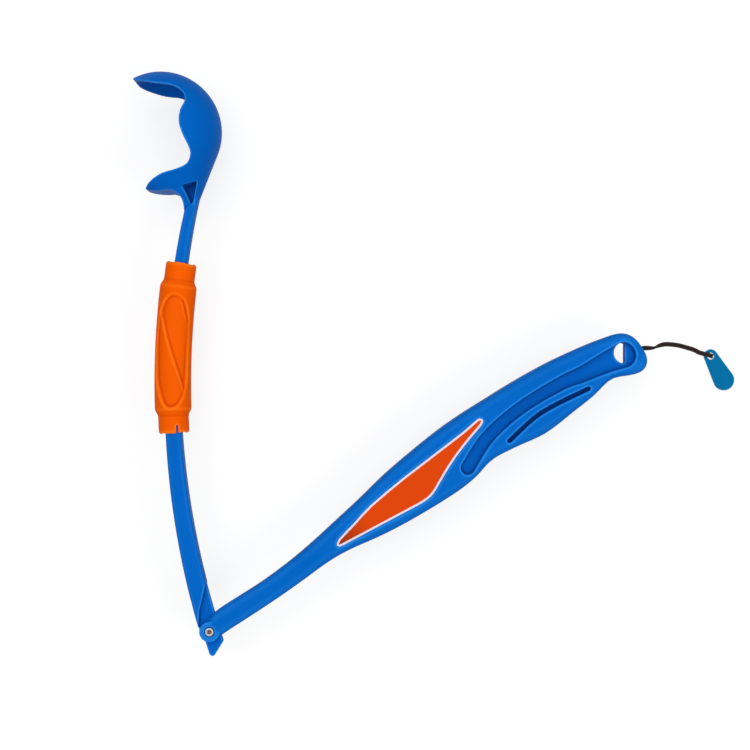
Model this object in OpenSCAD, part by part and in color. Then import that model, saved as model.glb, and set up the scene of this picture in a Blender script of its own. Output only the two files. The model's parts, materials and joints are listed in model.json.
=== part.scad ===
// Folding ball launcher for dogs: a long grip, a bowed arm with a ball cup, and a sleeve on the arm.
// It lies on its side. Sizes are in millimetres and the hinge axis is upright.

/* [Ball cup] */
// Diameter of the ball that the cup holds
ball_d = 65; // [55:0.5:70]
// Gap between the ball and the cup
ball_gap = 0.5; // [0.2:0.1:1.5]
// Wall of the cup
cup_wall = 2.3; // [1.8:0.1:3.5]
// Radius of the neck where the cup runs into the arm
cup_neck_r = 7; // [6:0.1:7]
// Web left between the two triangular pockets in the neck
pocket_web = 3; // [1.5:0.5:6]

/* [Arm] */
// Length of the arm from the pivot to the cup's neck, along its bow
arm_l = 251; // [230:1:280]
// Radius of the arm's bow, along its middle
arm_bow_r = 490; // [420:1:700]
// Width of the arm at the hinge
arm_hinge_w = 11.6; // [10.5:0.1:13]
// Width of the arm under the cup
arm_neck_w = 6.6; // [5.5:0.1:8]
// Thickness of the arm across the throw
arm_t = 14; // [12:0.2:15]
// Rounding of the arm's edges
arm_edge_r = 2.4; // [1:0.1:3]

/* [Hinge] */
// Half width of the fork's round end
fork_r = 6; // [5.5:0.1:7]
// Thickness of the tongue between the fork's cheeks
tongue_t = 5; // [4:0.1:6]
// Gap between the tongue and each cheek
tongue_gap = 0.25; // [0.15:0.05:0.5]
// Reach of the stop heel behind the pivot
heel_l = 14.6; // [12:0.1:15]
// Angle that the arm folds in from the pose as it lies
fold_in = 44; // [38:1:46]
// Angle that the arm opens out from the pose as it lies, to its stop
open_out = 106; // [95:1:106]
// Outer diameter of the pivot bush
bush_d = 4.4; // [4.2:0.1:4.8]
// Radial running clearance of the tongue on the bush
bush_gap = 0.05; // [0.02:0.01:0.1]
// Thread diameter of the pivot screw
screw_d = 3; // [2.5:0.1:3.2]
// Diameter of the screw head
screw_head_d = 5; // [4.9:0.1:5.8]
// Height of the screw head
screw_head_h = 1.8; // [1.4:0.1:2.2]
// Width across the flats of the lock nut
nut_flats = 5.5; // [5.4:0.1:6]
// Height of the lock nut
nut_h = 2.4; // [2:0.1:2.8]
// Clearance around the screw head and nut in their pockets
hardware_gap = 0.5; // [0.3:0.05:0.8]

/* [Handle] */
// Length of the handle from the pivot to its end
handle_l = 304; // [290:1:330]
// Width of the neck behind the fork
neck_w = 13.6; // [12.5:0.1:15]
// Thickness of the neck and the fork
neck_t = 14; // [13:0.2:15]
// Rounding of the neck's edges
neck_edge_r = 4.3; // [2.5:0.1:4.5]
// Thickness of the grip
grip_t = 24; // [21:0.5:27]
// Width across the palm swell
palm_w = 35.4; // [33:0.2:38]
// Width across the finger notch
notch_w = 32.4; // [30:0.2:34]
// Width across the finger swell
finger_w = 35.6; // [34:0.2:38]
// Width across the waist before the pommel
waist_w = 24.6; // [23:0.2:27]
// Width across the pommel
pommel_w = 26.8; // [26:0.2:29]
// Height of the grip's arched back over the pivot
back_h = 27.4; // [26:0.2:29]
// Rounding of the grip's edges
grip_edge_r = 5.5; // [3:0.1:7]
// Web between the two channels of the grip
channel_web = 12; // [6:0.5:15]
// Web over the knot's pocket, which is deeper than the channel
pocket_floor = 4; // [2.5:0.5:5]
// Width of the slit beside the channel
slit_w = 2.6; // [2:0.1:3]
// Depth of the slit on each side
slit_depth = 7; // [3:0.5:8]
// Radius of the hanging hole
hang_r = 6.3; // [5:0.1:6.5]
// Diameter of the lanyard hole through the end wall
lanyard_hole_d = 3.6; // [3.3:0.1:4.5]

/* [Label] */
// Thickness of the label
label_t = 0.4; // [0.2:0.05:0.6]
// Depth of the label's recess
label_depth = 0.9; // [0.6:0.05:1.5]
// Gap around the label in its recess
label_gap = 0.35; // [0.2:0.05:0.6]

/* [Sleeve] */
// Length of the sleeve along the arm
sleeve_l = 101; // [90:1:110]
// Width across the sleeve's ridges
sleeve_w = 21.6; // [21:0.1:24]
// Width across the sleeve's end collars
collar_w = 18; // [17.8:0.1:20]
// Length of each end collar
collar_l = 10; // [7:0.5:14]
// Depth of the spiral flutes
flute_depth = 1.5; // [0.5:0.1:1.6]
// Number of spiral flutes
flutes = 4; // [3:1:5]
// Turn of the flutes from one end to the other, in degrees
flute_turn = -215; // [-240:5:-60]
// Length of the slit in the sleeve's lower collar
notch_l = 5; // [3:0.5:8]
// Clearance of the sleeve's bore around the arm and the handle's neck
bore_gap = 0.3; // [0.2:0.05:0.5]
// Distance of the sleeve's middle from the pivot, along the arm
sleeve_at = 169; // [160:1:175]

/* [Lanyard] */
// Diameter across the doubled cord
cord_d = 2.8; // [2:0.1:3]
// Diameter of the knot inside the handle
knot_d = 4.8; // [4.2:0.1:5]
// Thickness of the tag
tag_t = 2.2; // [1.5:0.1:3]
// Radius of the tag's broad end
tag_r = 6.4; // [5:0.1:7]
// Radius of the tag's narrow end
tag_eye_r = 4.2; // [3.6:0.1:4.5]
// Diameter of the hole in the tag
tag_hole_d = 4.2; // [3.6:0.1:4.4]
// Distance between the middles of the tag's ends
tag_l = 16.5; // [12:0.5:20]

/* [Hidden] */
$fn = 96;
over = 1;

// Directions in plan as it lies: the handle's line, and the arm's tangent at the pivot.
handle_deg = 32.8;
arm_deg = 107.3;

// The arm's middle is an arc through the pivot, and its edges are two more arcs.
bow_mid = arm_bow_r * [sin(arm_deg), -cos(arm_deg)];
function on_arm(s) = bow_mid + arm_bow_r * [-sin(arm_deg - s / arm_bow_r * 180 / PI),
                                           cos(arm_deg - s / arm_bow_r * 180 / PI)];
function arm_dir(s) = arm_deg - s / arm_bow_r * 180 / PI;
function arm_side(s) = [-sin(arm_dir(s)), cos(arm_dir(s))];
function arm_w(s) = arm_hinge_w + (arm_neck_w - arm_hinge_w) * s / arm_l;

// The ball's middle lies ahead of the neck and stands off towards the open side of the cup.
ball_ahead = 41.4;
ball_side = 26.4;
neck_dir = [cos(arm_dir(arm_l)), sin(arm_dir(arm_l))];
ball_mid = on_arm(arm_l) + ball_ahead * neck_dir + ball_side * arm_side(arm_l);
cup_in_r = ball_d / 2 + ball_gap;
cup_out_r = cup_in_r + cup_wall;

// A smooth curve through a list of points, with a few steps between each pair.
function curve_point(a, b, c, d, t) =
    0.5 * (2 * b + (c - a) * t + (2 * a - 5 * b + 4 * c - d) * t * t + (3 * b - a - 3 * c + d) * t * t * t);
function curve(p, steps) = let (n = len(p)) [
    for (i = [0 : n - 2], k = [0 : steps - 1])
        curve_point(p[max(i - 1, 0)], p[i], p[i + 1], p[min(i + 2, n - 1)], k / steps),
    p[n - 1]
];

// The value of column c at distance u, on a smooth curve through the rows of a table that starts with u.
function slope(t, i, c) = let (a = max(i - 1, 0), b = min(i + 1, len(t) - 1))
    (t[b][c] - t[a][c]) / (t[b][0] - t[a][0]);
function row_at(t, u) = max([for (i = [0 : len(t) - 2]) t[i][0] <= u ? i : 0]);
function look_up(t, u, c) = let (
    i = row_at(t, u), h = t[i + 1][0] - t[i][0], x = min(1, max(0, (u - t[i][0]) / h)))
    t[i][c] * (1 + 2 * x) * pow(1 - x, 2) + t[i + 1][c] * x * x * (3 - 2 * x)
    + h * slope(t, i, c) * x * pow(1 - x, 2) + h * slope(t, i + 1, c) * x * x * (x - 1);

// Sections of the handle: distance from the pivot, height of the back, width, thickness.
face_from = 85;
face_from_t = neck_t + 5;
face_rise = (grip_t - face_from_t) / 2 / 120;
function face_t(u) = face_from_t + 2 * face_rise * (u - face_from);
sections = [
    [0, fork_r, 2 * fork_r, neck_t],
    [10, neck_w - 5.6, neck_w, neck_t],
    [40, neck_w - 5.7, neck_w - 0.3, neck_t],
    [62, neck_w - 4.3, neck_w + 0.3, neck_t + 0.4],
    [80, back_h - 15.8, neck_w + 1.4, face_t(80)],
    [94, back_h - 13.4, neck_w + 4.4, face_t(94)],
    [116, back_h - 9.5, palm_w - 10.2, face_t(116)],
    [137, back_h - 5.3, palm_w - 4.2, face_t(137)],
    [165, back_h - 1.7, palm_w, face_t(165)],
    [180, back_h - 0.4, palm_w, face_t(180)],
    [194, back_h, notch_w, face_t(194)],
    [208, back_h - 0.2, (notch_w + finger_w) / 2 - 0.8, grip_t],
    [handle_l - 75, back_h - 0.6, finger_w, grip_t],
    [handle_l - 54, back_h - 1.9, finger_w - 3, grip_t],
    [handle_l - 40, back_h - 3.6, (finger_w + waist_w) / 2 - 0.6, grip_t],
    [handle_l - 25, back_h - 6, waist_w, grip_t],
    [handle_l - 12, back_h - 8.8, pommel_w, grip_t],
    [handle_l, back_h - 12, pommel_w - 1.8, grip_t - 2]
];
function back_at(u) = look_up(sections, u, 1);
pommel_r = 9;
function shrink(u) = let (past = max(0, u - handle_l + pommel_r))
    pommel_r - sqrt(pow(pommel_r, 2) - past * past);

// The channel and the slit follow the back: distance from the end, distance below the back, half width.
channel_rows = [[124.5, 27.8, 4.1], [105, 19.4, 3.9], [80, 15.1, 3.7], [53, 14.2, 4], [38, 14.7, 4.8],
                [24, 14, 6], [12.5, 13.4, 7.4]];
channel_path = curve([for (r = channel_rows) [handle_l - r[0], back_at(handle_l - r[0]) - r[1], r[2]]], 6);
channel_end = channel_path[len(channel_path) - 1];
slit_rows = [[95.6, 27.9], [71, 23.6], [40.4, 23.9]];
slit_path = curve([for (r = slit_rows) [handle_l - r[0], back_at(handle_l - r[0]) - r[1], slit_w / 2]], 6);

// The label's outline, as distance from the pivot and distance below the crest of the back.
label_rows = [[90.5, 25], [93.5, 22.5], [106, 19.4], [120, 15.8], [145, 12.6], [169, 10.5], [188, 9],
              [197.5, 7.6], [200.5, 7.5], [202, 9], [201.2, 10.8], [197, 12.5], [190, 14.6], [177.5, 19],
              [166.5, 24], [157, 28.9], [153.2, 30.4], [149, 31], [143, 30.9], [119, 29.1], [95, 27],
              [91.5, 26.4]];
label_outline = curve([for (r = label_rows) [r[0], back_h - r[1]]], 2);
face_deg = atan(face_rise);

// A closed outline with each side moved outwards by d.
function grown(p, d) = let (n = len(p)) [
    for (i = [0 : n - 1]) let (
        a = p[i] - p[(i + n - 1) % n], b = p[(i + 1) % n] - p[i],
        na = [-a[1], a[0]] / norm(a), nb = [-b[1], b[0]] / norm(b))
        p[i] + d * (na + nb) / (1 + na * nb)
];

// The cup's front edge in plan, from the finger's tip round to the thumb's, measured from the ball's middle.
cup_tip = -16.4;
cup_edge = [[cup_tip, 31.4], [-15.2, 29], [-11, 27.3], [-1, 25], [9, 23.6], [15, 19.6], [16.4, 14.5],
            [14.2, 8.5], [13.6, 1.5], [15.4, -5], [18.6, -12], [19.3, -16], [17, -21], [11, -24.2],
            [3, -26.6], [-4, -30.2], [-8.6, -34]];
cup_front = curve(cup_edge, 4);

// The lowest points are on the edges of the cup's wings, and they touch the ground.
mid_z = sqrt(pow(cup_out_r, 2) - pow(min([for (p = cup_front) norm(p)]), 2));

// The plan is centred on the middle of the launcher's outline.
heel_low = -heel_l - 1.6;
cup_tip_x = ball_mid[0] + cup_tip;
handle_end_x = handle_l * cos(handle_deg) + 1;
plan_mid = [(cup_tip_x + handle_end_x) / 2, (ball_mid[1] + cup_out_r + heel_low) / 2];

// The doubled cord runs from the knot inside the handle and drops to the tag, which lies on the ground.
// Its points after the end wall: distance past the end, sideways, and share of the drop still to go.
cord_z = -5;
cord_v = 2.2;
knot_u = handle_l - 9.4;
cord_low = tag_t + cord_d / 2 + 0.1 - mid_z;
cord_out = [[-1, 0, 1], [2.5, -1.4, 1], [7.1, -4.2, 0.96], [11.5, -5.2, 0.88], [15.3, -6.8, 0.77],
            [21.3, -11.2, 0.52], [25.5, -15.2, 0.32], [29.7, -19.7, 0.15], [32, -23.1, 0.05], [34.6, -26.1, 0],
            [36.5, -28.2, 0]];
cord_route = concat([[knot_u + knot_d / 2 + 0.05, cord_v, cord_z]],
                    [for (p = cord_out)
                        [handle_l + p[0], cord_v + p[1], cord_low + p[2] * (cord_z - cord_low)]]);
tag_eye = [handle_l + 37.4, cord_v - 29.2];
tag_deg = -94;
tag_top = tag_t - mid_z;

module laid() {
    translate([-plan_mid[0], -plan_mid[1], mid_z]) children();
}

module on_handle() {
    laid() rotate(handle_deg) children();
}

module both_sides() {
    children();
    mirror([0, 0, 1]) children();
}

// A solid through a row of closed sections that have the same number of points.
module loft(rings) {
    n = len(rings[0]);
    m = len(rings);
    polyhedron(
        points = [for (r = rings) each r],
        faces = concat(
            [[for (k = [0 : n - 1]) k]],
            [for (i = [0 : m - 2], k = [0 : n - 1]) let (j = (k + 1) % n) each [
                [i * n + k, (i + 1) * n + j, i * n + j], [i * n + k, (i + 1) * n + k, (i + 1) * n + j]]],
            [[for (k = [n - 1 : -1 : 0]) (m - 1) * n + k]]));
}

// A rounded rectangle as points, in two directions.
function round_box(low, high, half, r, steps) = [
    for (q = [0 : 3], k = [0 : steps]) let (a = 90 * q + 90 * k / steps)
        [(q == 0 || q == 3 ? high - r : low + r) + r * cos(a), (q < 2 ? half - r : r - half) + r * sin(a)]
];

// A band along a path of [u, v, half width], with round ends.
module band(path) {
    n = len(path);
    way = [for (i = [0 : n - 1]) let (d = path[min(i + 1, n - 1)] - path[max(i - 1, 0)])
           [-d[1], d[0]] / norm([d[0], d[1]])];
    polygon(concat(
        [for (i = [0 : n - 1]) [path[i][0], path[i][1]] + way[i] * path[i][2]],
        [for (i = [n - 1 : -1 : 0]) [path[i][0], path[i][1]] - way[i] * path[i][2]]));
    for (e = [path[0], path[n - 1]]) translate([e[0], e[1]]) circle(r = e[2]);
}

module handle_body() {
    us = concat([for (u = [0 : 4 : handle_l - pommel_r - 0.1]) u],
                [for (a = [0 : 15 : 75]) handle_l - pommel_r + pommel_r * sin(a)]);
    loft([for (u = us) let (
        s = shrink(u), high = back_at(u) - s, low = back_at(u) - look_up(sections, u, 2) + s,
        half = look_up(sections, u, 3) / 2 - s * 0.6,
        r = min(neck_edge_r + (grip_edge_r - neck_edge_r) * max(0, min(1, (u - 40) / 60)), half - 1))
        [for (p = round_box(low, high, half, r, 5)) [u, p[0], p[1]]]]);
    cylinder(r = fork_r, h = neck_t, center = true);
}

// The fork's slot: open for the tongue as it folds in, with a slanted seat that stops the opening heel.
function turned(p, a) = [p[0] * cos(a) - p[1] * sin(a), p[0] * sin(a) + p[1] * cos(a)];
heel_end = [[-heel_l, 1.8], [-8.2, 0.4 - fork_r]];
heel_tip = [-heel_l, 3.2];
stop_gap = 0.15;

module fork_slot() {
    rise = tan(arm_deg - handle_deg - fold_in);
    drop = (arm_hinge_w / 2 + 0.7) * sqrt(1 + rise * rise);
    wall = norm(heel_tip) + 0.4;
    seat = [for (p = heel_end) turned(p, arm_deg + open_out - handle_deg)];
    way = (seat[1] - seat[0]) / norm(seat[1] - seat[0]);
    foot = seat[0] + stop_gap * [way[1], -way[0]];
    low = foot + way * (wall - foot[0]) / way[0];
    high = foot + way * (foot[0] * rise - drop - foot[1]) / (way[1] - way[0] * rise);
    far = wall + 24;
    linear_extrude(tongue_t + 2 * tongue_gap, center = true)
        polygon([[-3 * fork_r, -3 * fork_r], [wall, -3 * fork_r], low, high,
                 [far, far * rise - drop], [far, 4 * fork_r], [-3 * fork_r, 4 * fork_r]]);
}

module handle() {
    color("royalblue") on_handle() difference() {
        handle_body();
        fork_slot();
        cylinder(d = bush_d + 2 * bush_gap, h = 2 * neck_t, center = true);
        translate([0, 0, neck_t / 2 - screw_head_h - 0.2])
            cylinder(d = screw_head_d + 2 * hardware_gap, h = neck_t);
        mirror([0, 0, 1]) translate([0, 0, neck_t / 2 - nut_h - 0.2])
            cylinder(d = (nut_flats + 0.2) / cos(30), h = neck_t, $fn = 6);
        both_sides() translate([0, 0, channel_web / 2]) linear_extrude(grip_t) band(channel_path);
        mirror([0, 0, 1]) translate([channel_end[0], channel_end[1], pocket_floor / 2])
            cylinder(r = channel_end[2], h = grip_t);
        both_sides() translate([0, 0, grip_t / 2 - slit_depth]) linear_extrude(grip_t) band(slit_path);
        hang_hole();
        translate([knot_u, cord_v, cord_z]) rotate([0, 90, 0])
            cylinder(d = lanyard_hole_d, h = handle_l - knot_u + 10);
        label_plane() translate([0, 0, -label_depth]) linear_extrude(grip_t)
            polygon(grown(label_outline, label_gap));
    }
}

// A half-round hole through the web at the pommel, for a hook.
module hang_hole() {
    translate([channel_end[0] + 2, channel_end[1] + 0.4, 0]) rotate(-handle_deg) intersection() {
        cylinder(r = hang_r, h = 2 * grip_t, center = true);
        translate([-2 * hang_r, -2 * hang_r, -grip_t]) cube([2 * hang_r, 4 * hang_r, 2 * grip_t]);
    }
}

// The handle's upper face rises evenly where the label lies.
module label_plane() {
    translate([face_from, 0, face_from_t / 2]) rotate([0, -face_deg, 0]) translate([-face_from, 0, 0])
        children();
}

module label() {
    color("orangered") on_handle() label_plane() translate([0, 0, -label_depth])
        linear_extrude(label_t) polygon(label_outline);
}

// A round plate whose rim is rounded, and a ring whose inner rim is rounded.
module round_rim(r, t, e) {
    rotate_extrude($fn = 360) rim_section(r, t, e);
}

module rim_section(r, t, e) {
    translate([0, -t / 2]) square([r - e, t]);
    translate([r - e - over, e - t / 2]) square([e + over, t - 2 * e]);
    for (z = [e - t / 2, t / 2 - e]) translate([r - e, z]) circle(r = e, $fn = 48);
}

module hole_rim(r, t, e, out) {
    rotate_extrude($fn = 360) difference() {
        translate([r, -t / 2]) square([out, t]);
        for (m = [0, 1]) mirror([0, m]) difference() {
            translate([r - over, t / 2 - e]) square([e + over, e + over]);
            translate([r + e, t / 2 - e]) circle(r = e, $fn = 48);
        }
    }
}

// Circle through three points, as [middle x, middle y, radius].
function circle_through(a, b, c) = let (
    d = 2 * (a[0] * (b[1] - c[1]) + b[0] * (c[1] - a[1]) + c[0] * (a[1] - b[1])),
    x = ((a * a) * (b[1] - c[1]) + (b * b) * (c[1] - a[1]) + (c * c) * (a[1] - b[1])) / d,
    y = ((a * a) * (c[0] - b[0]) + (b * b) * (a[0] - c[0]) + (c * c) * (b[0] - a[0])) / d)
    [x, y, norm([x, y] - a)];
function arm_edge(sign) = circle_through(
    on_arm(0) + sign * arm_w(0) / 2 * arm_side(0),
    on_arm(arm_l / 2) + sign * arm_w(arm_l / 2) / 2 * arm_side(arm_l / 2),
    on_arm(arm_l) + sign * arm_w(arm_l) / 2 * arm_side(arm_l));
outer_edge = arm_edge(1);
inner_edge = arm_edge(-1);

// The arm between its two edge arcs, from the hinge to the cup's neck.
module arm_bar(t, e) {
    intersection() {
        translate([outer_edge[0], outer_edge[1]]) round_rim(outer_edge[2], t, e);
        translate([inner_edge[0], inner_edge[1]]) hole_rim(inner_edge[2], t, e, 60);
        translate([0, 0, -t]) linear_extrude(2 * t) polygon([
            on_arm(0) + 40 * arm_side(0), on_arm(0) - 40 * arm_side(0),
            on_arm(arm_l / 2) - 60 * arm_side(arm_l / 2),
            on_arm(arm_l + 12) - 40 * arm_side(arm_l + 12), on_arm(arm_l + 12) + 40 * arm_side(arm_l + 12),
            on_arm(arm_l / 2) + 60 * arm_side(arm_l / 2)]);
    }
}

// The arm is full thick only beyond a shoulder, which is clear of the fork when it folds in.
shoulder_gap = 0.6;

module beyond_shoulder() {
    near = fork_r + shoulder_gap;
    edge = neck_w - 5.6 + shoulder_gap;
    rotate(handle_deg + fold_in) linear_extrude(2 * arm_t, center = true)
        polygon([[-20, near], [0, near], [10, edge], [2 * arm_l, edge],
                 [2 * arm_l, 2 * arm_l], [-20, 2 * arm_l]]);
}

module heel() {
    rotate(arm_deg) linear_extrude(tongue_t, center = true)
        polygon([[4, 4.6], [1.4 - heel_l, 4.4], heel_tip, heel_end[0], heel_end[1],
                 [-7.4, -5.8], [-3, -5.5], [4, -5.2]]);
}

// The cone from the ball's shell into the neck: its narrow end stands over the arm.
cone_end = [14.2, -41.6];
cone_deg = asin((cup_out_r - cup_neck_r) / norm(cone_end));

module cup_form() {
    sphere(r = cup_out_r);
    rotate(atan2(cone_end[1], cone_end[0])) rotate([0, 90, 0]) translate([0, 0, cup_out_r * sin(cone_deg)])
        cylinder(r1 = cup_out_r * cos(cone_deg), r2 = cup_neck_r * cos(cone_deg),
                 h = norm(cone_end) + (cup_neck_r - cup_out_r) * sin(cone_deg));
}

// What the cup keeps in plan: the shell behind its front edge, and the neck with a fillet under the thumb.
module cup_plan() {
    thumb = [for (a = [256 : 6 : 274]) (cup_out_r + 0.4) * [cos(a), sin(a)]];
    fillet = [[6, -35.3], [9, -36.2], [11.4, -38], [12.8, -40.4], [13.4, -43], [13.6, -48], [13.6, -60]];
    polygon(concat(cup_front, thumb, fillet, [[40, -60], [60, 0], [40, 50], [cup_tip, 50]]));
}

module neck_pocket() {
    linear_extrude(2 * cup_out_r) polygon([[13.6, -32.8], [21.9, -29.9], [18.3, -44]]);
}

module ball_arm() {
    color("dodgerblue") laid() difference() {
        union() {
            intersection() {
                arm_bar(arm_t, arm_edge_r);
                beyond_shoulder();
            }
            intersection() {
                arm_bar(tongue_t, 0.3);
                translate([-60, -60, -arm_t]) cube([120, 110, 2 * arm_t]);
            }
            heel();
            translate(ball_mid) intersection() {
                cup_form();
                linear_extrude(4 * cup_out_r, center = true) cup_plan();
            }
        }
        translate(ball_mid) sphere(r = cup_in_r);
        cylinder(d = bush_d + 2 * bush_gap, h = 2 * arm_t, center = true);
        translate(ball_mid) both_sides() translate([0, 0, pocket_web / 2]) neck_pocket();
    }
}

// The sleeve's outline: half width along its length, from one end to the other.
function sleeve_half(x) = let (
    e = sleeve_l / 2 - abs(x), k = max(0, min(1, (e - collar_l) / 5)), c = max(0, 1.6 - e))
    (collar_w + (sleeve_w - collar_w) * k * k * (3 - 2 * k)) / 2 - 1.6 + sqrt(1.6 * 1.6 - c * c);

// The flutes lie in two long windows, in the upper and the lower face, and run out softly at their edges.
window_l = sleeve_l - 2 * collar_l - 13;
function window_part(x, a) = let (
    d = pow(abs(x + 2) * 2 / window_l, 4) + pow(cos(a) / 0.88, 2), k = max(0, min(1, 4 * (1 - d))))
    k * k * (3 - 2 * k);

// A ring of the sleeve at distance x from its middle. Its points turn with the flutes' sharp ridges.
// Each flute starts with a step and then rises evenly to the next ridge.
flute_steps = 12;
function sleeve_ring(x) = let (s = sleeve_at + x, c = on_arm(s), side = arm_side(s))
    [for (f = [0 : flutes - 1], k = [0 : flute_steps - 1]) let (
        rise = k / (flute_steps - 1),
        a = 360 / flutes * (f + 0.95 * rise) + flute_turn * x / sleeve_l,
        q = sleeve_half(x) - flute_depth * window_part(x, a) * (1 - 0.6 * rise))
        [c[0] + side[0] * q * cos(a), c[1] + side[1] * q * cos(a), q * sin(a)]];

bore_w = neck_w + 2 * bore_gap;
bore_t = max(arm_t, neck_t) + 2 * bore_gap;

module lock_sleeve() {
    mid = sleeve_l / 2;
    ends = [0, 0.4, 1, 1.6, 4];
    xs = concat([for (e = ends) e - mid], [for (x = [collar_l - mid : 2.5 : mid - collar_l]) x],
                [for (i = [4 : -1 : 0]) mid - ends[i]]);
    color("darkorange") laid() difference() {
        loft([for (x = xs) sleeve_ring(x)]);
        loft([for (x = [-mid - over : (sleeve_l + 2 * over) / 12 : mid + 2 * over]) let (
            s = sleeve_at + x, c = on_arm(s), side = arm_side(s))
            [for (p = round_box(-bore_w / 2, bore_w / 2, bore_t / 2, neck_edge_r + bore_gap, 5))
                [c[0] + side[0] * p[0], c[1] + side[1] * p[0], p[1]]]]);
        translate(on_arm(sleeve_at - mid)) rotate(arm_dir(sleeve_at - mid)) translate([-over, -3.4, 4])
            cube([notch_l + over, 1.2, sleeve_w]);
    }
}

bush_top = neck_t / 2 - screw_head_h - 0.2;
bush_low = -neck_t / 2 + nut_h + 0.2;

module pivot_bush() {
    color("silver") on_handle() translate([0, 0, bush_low]) difference() {
        cylinder(d = bush_d, h = bush_top - bush_low);
        translate([0, 0, -over]) cylinder(d = screw_d + 0.1, h = neck_t);
    }
}

module pivot_screw() {
    color("silver") on_handle() difference() {
        union() {
            translate([0, 0, bush_top]) cylinder(d = screw_head_d, h = screw_head_h);
            translate([0, 0, 0.3 - neck_t / 2]) cylinder(d = screw_d, h = bush_top + neck_t / 2 - 0.3);
        }
        translate([0, 0, bush_top + screw_head_h - 1.1]) cylinder(d = 2.5 / cos(30), h = 2, $fn = 6);
    }
}

module pivot_nut() {
    color("gainsboro") on_handle() translate([0, 0, bush_low - nut_h]) difference() {
        cylinder(d = nut_flats / cos(30), h = nut_h, $fn = 6);
        translate([0, 0, -over]) cylinder(d = screw_d + 0.1, h = nut_h + 2 * over);
    }
}

// A tube along a route, with square ends.
module tube(route, r, sides) {
    n = len(route);
    loft([for (i = [0 : n - 1]) let (
        d = route[min(i + 1, n - 1)] - route[max(i - 1, 0)], t = d / norm(d),
        a = cross([0, 0, 1], t) / norm(cross([0, 0, 1], t)), b = cross(t, a))
        [for (k = [0 : sides - 1]) route[i] + r * (cos(360 * k / sides) * a + sin(360 * k / sides) * b)]]);
}

module lanyard_cord() {
    color("dimgray") on_handle() tube(cord_route, cord_d / 2, 8);
}

module lanyard_knot() {
    color("dimgray") on_handle() translate([knot_u, cord_v, cord_z])
        sphere(d = knot_d);
}

// The tag: two round ends joined by straight sides that touch both.
module tag_outline() {
    lean = asin((tag_r - tag_eye_r) / tag_l);
    polygon(concat(
        [for (k = [0 : 16]) let (a = 90 + lean + k * (180 - 2 * lean) / 16) tag_eye_r * [cos(a), sin(a)]],
        [for (k = [0 : 24]) let (a = -90 - lean + k * (180 + 2 * lean) / 24)
            [tag_l, 0] + tag_r * [cos(a), sin(a)]]));
}

module lanyard_tag() {
    color("darkcyan") on_handle() translate([tag_eye[0], tag_eye[1], tag_top - tag_t]) rotate(tag_deg)
        linear_extrude(tag_t) difference() {
            tag_outline();
            circle(d = tag_hole_d);
        }
}

handle();
ball_arm();
lock_sleeve();
label();
pivot_bush();
pivot_screw();
pivot_nut();
lanyard_cord();
lanyard_knot();
lanyard_tag();
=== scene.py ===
import json
import math
import bmesh
import bpy
import numpy as np
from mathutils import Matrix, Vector


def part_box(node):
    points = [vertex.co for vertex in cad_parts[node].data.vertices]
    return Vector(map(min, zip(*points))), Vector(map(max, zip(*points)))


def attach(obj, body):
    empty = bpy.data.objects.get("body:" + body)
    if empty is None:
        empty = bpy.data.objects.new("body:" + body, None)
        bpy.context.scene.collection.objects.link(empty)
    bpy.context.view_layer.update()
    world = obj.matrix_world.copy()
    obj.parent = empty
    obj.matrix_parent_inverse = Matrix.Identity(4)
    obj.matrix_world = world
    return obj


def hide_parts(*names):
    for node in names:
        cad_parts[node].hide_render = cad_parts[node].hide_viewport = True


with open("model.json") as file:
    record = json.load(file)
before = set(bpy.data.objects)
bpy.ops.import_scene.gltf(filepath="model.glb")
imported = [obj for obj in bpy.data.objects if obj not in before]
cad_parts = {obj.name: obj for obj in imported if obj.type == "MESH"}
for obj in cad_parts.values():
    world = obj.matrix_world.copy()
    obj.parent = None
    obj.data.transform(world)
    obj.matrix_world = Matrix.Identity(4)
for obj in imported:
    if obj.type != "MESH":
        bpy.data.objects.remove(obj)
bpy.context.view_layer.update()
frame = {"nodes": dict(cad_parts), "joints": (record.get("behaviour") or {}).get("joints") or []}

scene = bpy.context.scene

# Camera: straight above the launcher, about a metre over it, with a short telephoto lens.
# The Standard view transform shows colours about as they are written.
camera_data = bpy.data.cameras.new("camera")
camera_data.sensor_width = 36
camera_data.lens = 78.9
camera = bpy.data.objects.new("camera", camera_data)
camera.location = (-0.00865, -0.0058, 1.0025)
scene.collection.objects.link(camera)
scene.camera = camera
scene.view_settings.view_transform = "Standard"


# Handle: one moulding of blue polypropylene, from the fork to the pommel, with a satin skin.
# Its edges are softened as a moulded part's are, on a fine even mesh.
def linear(code):
    parts = [int(code[i:i + 2], 16) / 255 for i in (1, 3, 5)]
    return [p / 12.92 if p <= 0.04045 else ((p + 0.055) / 1.055) ** 2.4 for p in parts] + [1]


def add(tree, kind, links=(), **settings):
    node = tree.nodes.new(kind)
    for key, value in settings.items():
        if key in node.inputs:
            node.inputs[key].default_value = value
        else:
            setattr(node, key, value)
    for source, socket in links:
        tree.links.new(source, node.inputs[socket])
    return node


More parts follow.
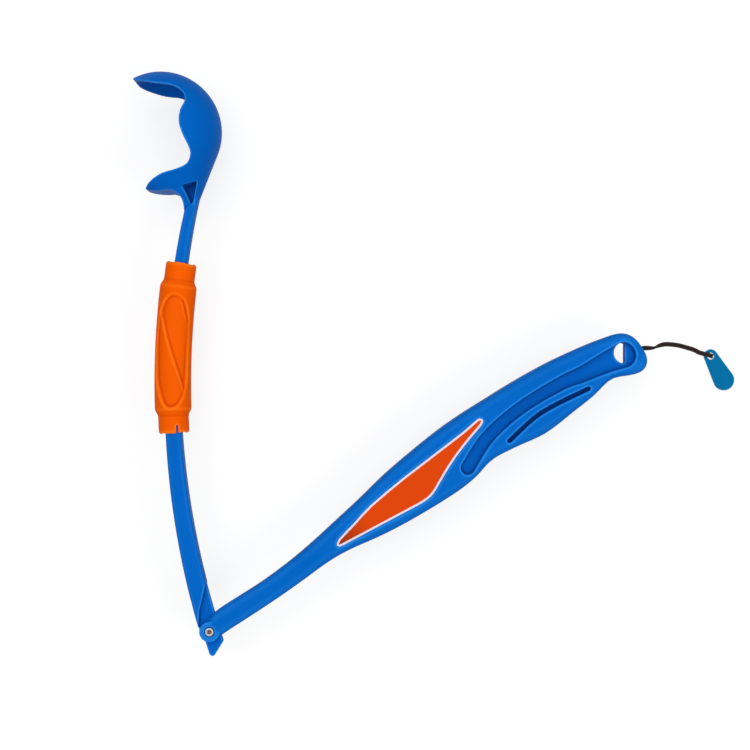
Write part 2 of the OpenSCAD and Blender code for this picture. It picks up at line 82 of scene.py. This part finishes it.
# Moulded plastic: an even colour that drifts a little in tone and gloss over some 36 mm,
# and a fine grain of a third of a millimetre that breaks up the sheen. Proud edges are painted
# paler and hollows darker, which stands for the light on edges and the shade in corners.
# In a colour Mix node, inputs 6 and 7 are the two colours and output 2 is the result.
def plastic(name, colour, roughness, grain=0.00035, bump=0.02, tint=0.06, specular=0.02,
            proud=None, hollow=None, edge=(120, 420), nook=(-60, -360)):
    drift, gloss_swing, grain_deep = 28.0, 0.05, 0.0002
    material = bpy.data.materials.new(name)
    material.use_nodes = True
    tree = material.node_tree
    shader = tree.nodes["Principled BSDF"]
    place = add(tree, "ShaderNodeTexCoord").outputs["Object"]
    broad = add(tree, "ShaderNodeTexNoise", [(place, "Vector")], Scale=drift, Detail=3.0)
    fine = add(tree, "ShaderNodeTexNoise", [(place, "Vector")], Scale=1 / grain, Detail=2.0)
    low, high = [[min(1, c * k) for c in linear(colour)[:3]] + [1] for k in (1 - tint, 1 + tint)]
    mix = add(tree, "ShaderNodeMix", [(broad.outputs["Fac"], "Factor")], data_type="RGBA")
    mix.inputs[6].default_value = low
    mix.inputs[7].default_value = high
    tone = mix.outputs[2]
    for other, (start, end) in ((proud, edge), (hollow, nook)):
        if other:
            bend = add(tree, "ShaderNodeAttribute", attribute_name="bend").outputs["Fac"]
            share = add(tree, "ShaderNodeMapRange", [(bend, "Value")],
                        **{"From Min": start, "From Max": end})
            shaded = add(tree, "ShaderNodeMix", [(share.outputs["Result"], "Factor"), (tone, 6)],
                         data_type="RGBA")
            shaded.inputs[7].default_value = linear(other)
            tone = shaded.outputs[2]
    tree.links.new(tone, shader.inputs["Base Color"])
    rough = add(tree, "ShaderNodeMapRange", [(broad.outputs["Fac"], "Value")])
    rough.inputs["To Min"].default_value = roughness - gloss_swing
    rough.inputs["To Max"].default_value = roughness + gloss_swing
    tree.links.new(rough.outputs["Result"], shader.inputs["Roughness"])
    relief = add(tree, "ShaderNodeBump", [(fine.outputs["Fac"], "Height")],
                 Strength=bump, Distance=grain_deep)
    tree.links.new(relief.outputs["Normal"], shader.inputs["Normal"])
    shader.inputs["IOR"].default_value = 1.5
    shader.inputs["Specular IOR Level"].default_value = specular
    return material


# How sharply the surface bends at each point, as one over the bend's radius in metres:
# above 0 on an edge, below 0 in a hollow.
def mark_bends(mesh, blur):
    count = len(mesh.vertices)
    place, out = np.empty(3 * count, "f"), np.empty(3 * count, "f")
    ends = np.empty(2 * len(mesh.edges), "i")
    mesh.vertices.foreach_get("co", place)
    mesh.vertex_normals.foreach_get("vector", out)
    mesh.edges.foreach_get("vertices", ends)
    place, out = place.reshape(-1, 3), out.reshape(-1, 3)
    a, b = ends[::2], ends[1::2]
    way = place[b] - place[a]
    way = 2 * way / (way ** 2).sum(1)[:, None]
    near = np.bincount(ends, minlength=count)
    bend = np.bincount(b, (out[b] * way).sum(1), count) - np.bincount(a, (out[a] * way).sum(1), count)
    bend = bend / near
    for _ in range(blur):
        around = np.bincount(a, bend[b], count) + np.bincount(b, bend[a], count)
        bend = (bend + around / near) / 2
    mesh.attributes.new("bend", "FLOAT", "POINT").data.foreach_set("value", bend.astype("f"))


def settle(piece):
    bpy.context.view_layer.update()
    shaped = piece.evaluated_get(bpy.context.evaluated_depsgraph_get())
    piece.data = bpy.data.meshes.new_from_object(shaped)
    piece.modifiers.clear()


# A moulding: the solid meshed finely and evenly, laid back on the solid, trued where it asks for that,
# and then softened.
def moulded(node, name, body, material, voxel, rounds, blur=3, trued=None):
    piece = bpy.data.objects.new(name, frame["nodes"][node].data.copy())
    scene.collection.objects.link(piece)
    even = piece.modifiers.new("even", "REMESH")
    even.mode = "VOXEL"
    even.voxel_size = voxel
    close = piece.modifiers.new("close", "SHRINKWRAP")
    close.target = frame["nodes"][node]
    close.wrap_method = "NEAREST_SURFACEPOINT"
    settle(piece)
    if trued:
        points = np.empty(3 * len(piece.data.vertices), "f")
        piece.data.vertices.foreach_get("co", points)
        points = trued(points.reshape(-1, 3).astype("d"))
        piece.data.vertices.foreach_set("co", points.astype("f").ravel())
    soft = piece.modifiers.new("soft", "SMOOTH")
    soft.factor = 0.5
    soft.iterations = rounds
    settle(piece)
    piece.data.materials.clear()
    piece.data.materials.append(material)
    piece.data.shade_smooth()
    mark_bends(piece.data, blur)
    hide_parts(node)
    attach(piece, body)
    return piece


grip_plastic = plastic("blue moulded polypropylene, grip", "#0063C0", 0.48,
                       proud="#1E7FDA", hollow="#00509F", edge=(40, 300))
handle = moulded("handle", "handle-moulding", "handle", grip_plastic, voxel=0.0006, rounds=5)

# Ball arm: one moulding of the same blue polypropylene, from the stop heel to the cup's fingers.
# It turns on the pivot between the fork's cheeks. Its middle line is an arc that starts at the pivot,
# and its two long edges are arcs too, rounded to 2.4 mm.
joint_at = {joint["name"]: joint["pos_m"] for joint in frame["joints"]}
pivot, bow_middle = Vector(joint_at["fold"]), np.array(joint_at["sleeve_slide"])
bow_radius, bow_start = 0.49, math.radians(107.3)
arm_long, arm_hinge_wide, arm_neck_wide = 0.251, 0.0116, 0.0066
arm_half_thick, arm_edge = 0.007, 0.0024


# The arc of a long edge goes through the bar's side at the hinge, halfway and at the neck.
def edge_arc(side):
    spots = []
    for share in (0, 0.5, 1):
        lies = bow_start - share * arm_long / bow_radius
        wide = arm_hinge_wide + (arm_neck_wide - arm_hinge_wide) * share
        reach = bow_radius + side * wide / 2
        spots.append(bow_middle[:2] + reach * np.array((-math.sin(lies), math.cos(lies))))
    a, b, c = spots
    middle = np.linalg.solve(2 * np.array((b - a, c - a)), (b @ b - a @ a, c @ c - a @ a))
    return middle, np.hypot(*(a - middle))


# The solid's mesh has dents on the rounded edges, so their points are set on the true rounding,
# from where the bar leaves the hinge, which differs for the outer and the inner edge, up to the cup.
def true_edges(points, outer_near=-0.138, inner_near=-0.1, far=0.085, slack=1.3):
    up = abs(points[:, 2] - pivot.z) - arm_half_thick + arm_edge
    for side, near in ((1, outer_near), (-1, inner_near)):
        middle, radius = edge_arc(side)
        off = points[:, :2] - middle
        reach = np.hypot(*off.T)
        past = side * (reach - radius) + arm_edge
        on = (up > 0) & (past > 0) & (past < slack * arm_edge)
        on &= (points[:, 1] > near) & (points[:, 1] < far)
        grow = arm_edge / np.hypot(past[on], up[on])
        rise = arm_half_thick - arm_edge + up[on] * grow
        wanted = radius + side * (past[on] * grow - arm_edge)
        points[on, 2] = pivot.z + np.sign(points[on, 2] - pivot.z) * rise
        points[on, :2] = middle + off[on] * (wanted / reach[on])[:, None]
    return points


arm_plastic = plastic("blue moulded polypropylene, arm", "#0062C0", 0.46,
                      proud="#1E7FDA", hollow="#00509F")
arm = moulded("ball_arm", "arm-moulding", "arm", arm_plastic, voxel=0.0005, rounds=4, trued=true_edges)

# Lock sleeve: a tube of orange thermoplastic rubber with spiral flutes in two windows, in one moulding.
# It is pushed over the arm and slides on it. Each flute starts with a step and rises evenly to
# the next ridge, and its windows run out softly at their edges.
sleeve_at, sleeve_long, sleeve_wide = 0.169, 0.101, 0.0216
collar_long, collar_wide, collar_ramp = 0.01, 0.018, 0.005
flutes, flute_deep, flute_rise, flute_turn, flute_step = 4, 0.0015, 0.6, 215, 0.1
window_gap, window_wide, window_back, window_soft = 0.013, 0.88, 0.002, 4
window_long = sleeve_long - 2 * collar_long - window_gap


def ease(share):
    share = np.clip(share, 0, 1)
    return share * share * (3 - 2 * share)


# The solid's mesh is coarse on the flutes, so the points close to them, outside the bore and
# away from the end faces, are set on the true surface.
def true_flutes(points, close=0.0007, bore=0.0085, rim=0.002):
    off = points - bow_middle
    lies = np.arctan2(-off[:, 0], off[:, 1])
    run = bow_radius * (bow_start - lies) - sleeve_at
    aside = np.hypot(off[:, 0], off[:, 1]) - bow_radius
    turn, wide = np.arctan2(off[:, 2], aside), np.hypot(off[:, 2], aside)
    end = sleeve_long / 2 - abs(run)
    full = (collar_wide + (sleeve_wide - collar_wide) * ease((end - collar_long) / collar_ramp)) / 2
    lengthwise = (abs(run + window_back) * 2 / window_long) ** 4
    across = (np.cos(turn) / window_wide) ** 2
    window = ease(window_soft * (1 - lengthwise - across))
    share = (np.degrees(turn) + flute_turn * run / sleeve_long) / (360 / flutes) % 1
    ridge = np.minimum(share / (1 - flute_step), (1 - share) / flute_step)
    wanted = full - flute_deep * window * (1 - flute_rise * ridge)
    on = (abs(wanted - wide) < close) & (wide > bore) & (end > rim)
    grow = wanted[on] / wide[on]
    flat = bow_radius + aside[on] * grow
    points[on, 0] = bow_middle[0] - np.sin(lies[on]) * flat
    points[on, 1] = bow_middle[1] + np.cos(lies[on]) * flat
    points[on, 2] = bow_middle[2] + off[on, 2] * grow
    return points


sleeve_plastic = plastic("orange moulded rubber", "#F05C00", 0.42,
                         proud="#FF7410", hollow="#D84A00", edge=(60, 300), nook=(-10, -140))
sleeve = moulded("lock_sleeve", "sleeve-moulding", "sleeve", sleeve_plastic, voxel=0.0004, rounds=4,
                 blur=6, trued=true_flutes)

# Label: printed orange film with a pale edge, stuck into the grip's recess.
# The printed field is set in from the film's edge by 1.2 mm.
label_border = 0.0012


def cut_from(node):
    shape = bmesh.new()
    shape.from_mesh(frame["nodes"][node].data)
    bmesh.ops.remove_doubles(shape, verts=shape.verts, dist=1e-6)
    bmesh.ops.dissolve_limit(shape, angle_limit=0.02, verts=shape.verts, edges=shape.edges)
    return shape


def fitted(shape, node, name, body, *materials):
    mesh = bpy.data.meshes.new(name)
    shape.to_mesh(mesh)
    shape.free()
    piece = bpy.data.objects.new(name, mesh)
    scene.collection.objects.link(piece)
    for material in materials:
        mesh.materials.append(material)
    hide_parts(node)
    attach(piece, body)
    return piece


film = cut_from("label")
face = max(film.faces, key=lambda f: f.calc_area() if f.normal.z > 0.9 else 0)
bmesh.ops.inset_region(film, faces=[face], thickness=label_border, depth=0)
face.material_index = 1
label_edge = plastic("pale label film", "#DCD6E4", 0.35, bump=0.0)
label_field = plastic("printed label film", "#D84408", 0.35, bump=0.0)
label = fitted(film, "label", "label-film", "handle", label_edge, label_field)

# The label is painted darker, to a dark red, over its last 22 mm at the hinge's end: painted shade where
# the tip lies in the shadow of its recess.
fade_long = 0.022
handle_turn = math.radians(32.8)
along = Vector((math.cos(handle_turn), math.sin(handle_turn), 0))
aside = Vector((-math.sin(handle_turn), math.cos(handle_turn), 0))
tree = label_field.node_tree
ink = tree.nodes["Principled BSDF"].inputs["Base Color"]
place = add(tree, "ShaderNodeTexCoord").outputs["Object"]
distance = add(tree, "ShaderNodeVectorMath", [(place, 0)], operation="DOT_PRODUCT")
distance.inputs[1].default_value = along
label_tip = min(v.co.dot(along) for v in label.data.vertices)
fade = add(tree, "ShaderNodeMapRange", [(distance.outputs["Value"], "Value")],
           **{"From Min": label_tip, "From Max": label_tip + fade_long})
# Painted shade: the print colour is mixed towards the dark red at the hinge's end of the label.
printed = add(tree, "ShaderNodeMix", [(fade.outputs["Result"], "Factor"), (ink.links[0].from_socket, 7)],
              data_type="RGBA")
printed.inputs[6].default_value = linear("#8E2C08")
tree.links.new(printed.outputs[2], ink)
label.data.set_sharp_from_angle(angle=0.5)

# Pivot: a zinc-plated steel screw in a steel bush, with its lock nut underneath.
# Their rims are turned round.
plated_rim = 0.0002

# Plated steel: bright, with a gloss that clouds over 0.8 mm and fine turning marks of 0.15 mm.
steel = bpy.data.materials.new("zinc-plated steel, turned")
steel.use_nodes = True
tree = steel.node_tree
shader = tree.nodes["Principled BSDF"]
shader.inputs["Base Color"].default_value = linear("#9A9C9F")
shader.inputs["Metallic"].default_value = 1
place = add(tree, "ShaderNodeTexCoord").outputs["Object"]
clouds = add(tree, "ShaderNodeTexNoise", [(place, "Vector")], Scale=1 / 0.0008, Detail=3.0)
gloss = add(tree, "ShaderNodeMapRange", [(clouds.outputs["Fac"], "Value")])
gloss.inputs["To Min"].default_value = 0.26
gloss.inputs["To Max"].default_value = 0.46
tree.links.new(gloss.outputs["Result"], shader.inputs["Roughness"])
marks = add(tree, "ShaderNodeTexNoise", [(place, "Vector")], Scale=1 / 0.00015, Detail=1.0)
scratched = add(tree, "ShaderNodeBump", [(marks.outputs["Fac"], "Height")],
                Strength=0.1, Distance=0.00005)
tree.links.new(scratched.outputs["Normal"], shader.inputs["Normal"])


def eased(node, name, body, material, width):
    shape = cut_from(node)
    rims = [e for e in shape.edges if len(e.link_faces) == 2 and e.calc_face_angle() > 0.7]
    bmesh.ops.bevel(shape, geom=rims, offset=width, segments=3, profile=0.5, affect="EDGES")
    piece = fitted(shape, node, name, body, material)
    piece.data.shade_smooth()
    piece.data.set_sharp_from_angle(angle=0.6)
    return piece


# The screw comes last here, because its socket is coloured below.
for node in ("pivot_bush", "pivot_nut", "pivot_screw"):
    screw = eased(node, node.replace("_", "-"), "handle", steel, plated_rim)

# The driver's socket inside the head is coloured dark brown.
brown_socket = steel.copy()
brown_socket.name = "screw steel, browned"
brown_socket.node_tree.nodes["Principled BSDF"].inputs["Base Color"].default_value = linear("#5E4238")
screw.data.materials.append(brown_socket)
head_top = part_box("pivot_screw")[1][2]
socket_reach, socket_top, socket_floor = 0.0014, 0.0001, 0.0016
for face in screw.data.polygons:
    inside = (face.center - pivot).xy.length < socket_reach
    if inside and socket_top < head_top - face.center.z < socket_floor:
        face.material_index = 1

# Lanyard tag: a drop of teal plastic with eased edges, lying on the ground.
# Its rim is painted paler than its face: a painted highlight where the edge catches the light.
tag_rim_wide, face_level = 0.0009, 0.95
tag_plastic = plastic("teal moulded ABS", "#006B9E", 0.3)
tag_rim = plastic("teal moulded ABS, painted rim highlight", "#0A86BE", 0.3)
tag = eased("lanyard_tag", "lanyard-tag", "handle", tag_plastic, tag_rim_wide)
tag.data.materials.append(tag_rim)
# The side and eased faces get the paler rim colour, a painted highlight.
for face in tag.data.polygons:
    if abs(face.normal.z) < face_level:
        face.material_index = 1

# Lanyard cord: a thin dark cord doubled through the tag, two strands that cross once.
# It leaves the hole in the handle's end wall, drops to the ground and goes into the tag's eye.
# Its points are distances past the handle's end, sideways and above the ground.
handle_long = 0.304
drop = ((-0.0069, 0.0022, 0.02754), (-0.001, 0.0022, 0.02754), (0.0025, 0.0008, 0.02754),
        (0.0071, -0.002, 0.0266), (0.0115, -0.003, 0.0247), (0.0153, -0.0046, 0.0221),
        (0.0213, -0.009, 0.0161), (0.0255, -0.013, 0.0113), (0.0297, -0.0175, 0.0073),
        (0.032, -0.0209, 0.0049), (0.0344, -0.0235, 0.0035), (0.0362, -0.0254, 0.003),
        (0.0376, -0.0269, 0.0018), (0.0383, -0.0277, 0.0008))
handle_end = Vector((pivot.x, pivot.y, 0)) + along * handle_long
cord_points = [handle_end + along * u + aside * v + Vector((0, 0, z)) for u, v, z in drop]


def through(points, steps):
    line = []
    for i in range(len(points) - 1):
        a, b = points[max(i - 1, 0)], points[i]
        c, d = points[i + 1], points[min(i + 2, len(points) - 1)]
        for k in range(steps):
            t = k / steps
            line.append(0.5 * (2 * b + (c - a) * t + (2 * a - 5 * b + 4 * c - d) * t * t
                               + (3 * b - a - 3 * c + d) * t ** 3))
    return line + [points[-1]]


def strand(shape, line, radius, sides=10, closed=False):
    rings, n = [], len(line)
    for i, p in enumerate(line):
        after = line[(i + 1) % n] if closed else line[min(i + 1, n - 1)]
        before = line[i - 1] if closed else line[max(i - 1, 0)]
        way = (after - before).normalized()
        left = Vector((0, 0, 1)).cross(way).normalized()
        up = way.cross(left)
        rings.append([shape.verts.new(p + radius * (math.cos(a) * left + math.sin(a) * up))
                      for a in (2 * math.pi * k / sides for k in range(sides))])
    for r, q in zip(rings, rings[1:] + rings[:1] if closed else rings[1:]):
        for k in range(sides):
            shape.faces.new((r[k], r[(k + 1) % sides], q[(k + 1) % sides], q[k]))
    if not closed:
        shape.faces.new(rings[0][::-1])
        shape.faces.new(rings[-1])


# Braided cord: dull and nearly black, with a coarse grain of 0.3 mm for the braid.
cord_fibre = plastic("dark braided cord", "#352C2C", 0.7, grain=0.0003, bump=0.6, tint=0.25)
route = through(cord_points, 10)
strand_off, strand_radius, cross_start, cross_long = 0.00068, 0.0007, 0.01, 0.013
laid = bmesh.new()
for side in (0, math.pi):
    line, run = [], 0
    for i, p in enumerate(route):
        before, after = route[max(i - 1, 0)], route[min(i + 1, len(route) - 1)]
        way = (after - before).normalized()
        left = Vector((0, 0, 1)).cross(way).normalized()
        run += (p - before).length
        twist = side + math.pi * min(1, max(0, run - cross_start) / cross_long)
        line.append(p + strand_off * (math.cos(twist) * left + math.sin(twist) * way.cross(left)))
    strand(laid, line, strand_radius)
cord = fitted(laid, "lanyard_cord", "lanyard-cord", "handle", cord_fibre)
cord.data.shade_smooth()

# Lanyard knot: the cord's two ends tied in an overhand knot inside the handle's lower channel.
# It is drawn up tight against the end wall.
knot_size, knot_rise, knot_strand, knot_steps = 0.00057, 1.8, 0.00062, 96
low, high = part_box("lanyard_knot")
knot_middle = (Vector(low) + Vector(high)) / 2
tied = bmesh.new()
loop = []
for k in range(knot_steps):
    a = 2 * math.pi * k / knot_steps
    loop.append(knot_middle + knot_size * ((2 * math.cos(2 * a) - math.cos(a)) * along
                                           + (math.sin(a) + 2 * math.sin(2 * a)) * aside
                                           + Vector((0, 0, knot_rise * math.sin(3 * a)))))
strand(tied, loop, knot_strand, closed=True)
knot = fitted(tied, "lanyard_knot", "lanyard-knot", "handle", cord_fibre)
knot.data.shade_smooth()

# Floor: a sheet of white paper under the launcher. To the eye it glows evenly, as on a light table,
# so that only close shadows show on it. The glow doesn't light the launcher, which only mirrors it.
floor_half = 40
floor_mesh = bpy.data.meshes.new("floor")
floor_corners = [(x * floor_half, y * floor_half, 0) for x, y in ((-1, -1), (1, -1), (1, 1), (-1, 1))]
floor_mesh.from_pydata(floor_corners, [], [(0, 1, 2, 3)])
floor = bpy.data.objects.new("floor", floor_mesh)
scene.collection.objects.link(floor)
white = bpy.data.materials.new("white paper")
white.use_nodes = True
shader = white.node_tree.nodes["Principled BSDF"]
for key, value in (("Base Color", (0.32, 0.32, 0.32, 1)), ("Roughness", 1), ("Specular IOR Level", 0),
                   ("Emission Color", (1, 1, 1, 1))):
    shader.inputs[key].default_value = value


# Where the eye looks, straight or in a mirror or through glass, it finds one strength,
# and light on its way to a dull surface finds another.
def seen_as(tree, bright, dim, socket):
    ray = add(tree, "ShaderNodeLightPath").outputs
    seen = ray["Is Camera Ray"]
    for kind in ("Is Glossy Ray", "Is Transmission Ray"):
        seen = add(tree, "ShaderNodeMath", [(seen, 0), (ray[kind], 1)], operation="MAXIMUM").outputs[0]
    level = add(tree, "ShaderNodeMapRange", [(seen, "Value")], **{"To Min": dim, "To Max": bright})
    tree.links.new(level.outputs["Result"], socket)


seen_as(white.node_tree, 0.71, 0, shader.inputs["Emission Strength"])
floor_mesh.materials.append(white)

# Light: a white room, a broad lamp above and to the left, and a small one low on the right for the edges.
# The room looks brighter than the light that it gives.
world = bpy.data.worlds.new("room")
scene.world = world
world.use_nodes = True
sky = world.node_tree.nodes["Background"]
sky.inputs["Color"].default_value = (1, 1, 1, 1)
seen_as(world.node_tree, 0.95, 0.56, sky.inputs["Strength"])
for name, power, width, spot in (("lamp", 10.5, 1.4, (-0.25, 0.3, 1.4)),
                                 ("fill", 2.6, 0.5, (0.65, -0.35, 0.9))):
    lamp_data = bpy.data.lights.new(name, "AREA")
    lamp_data.energy = power
    lamp_data.size = width
    lamp = bpy.data.objects.new(name, lamp_data)
    lamp.location = spot
    lamp.rotation_euler = (-Vector(spot)).to_track_quat("-Z", "Y").to_euler()
    scene.collection.objects.link(lamp)
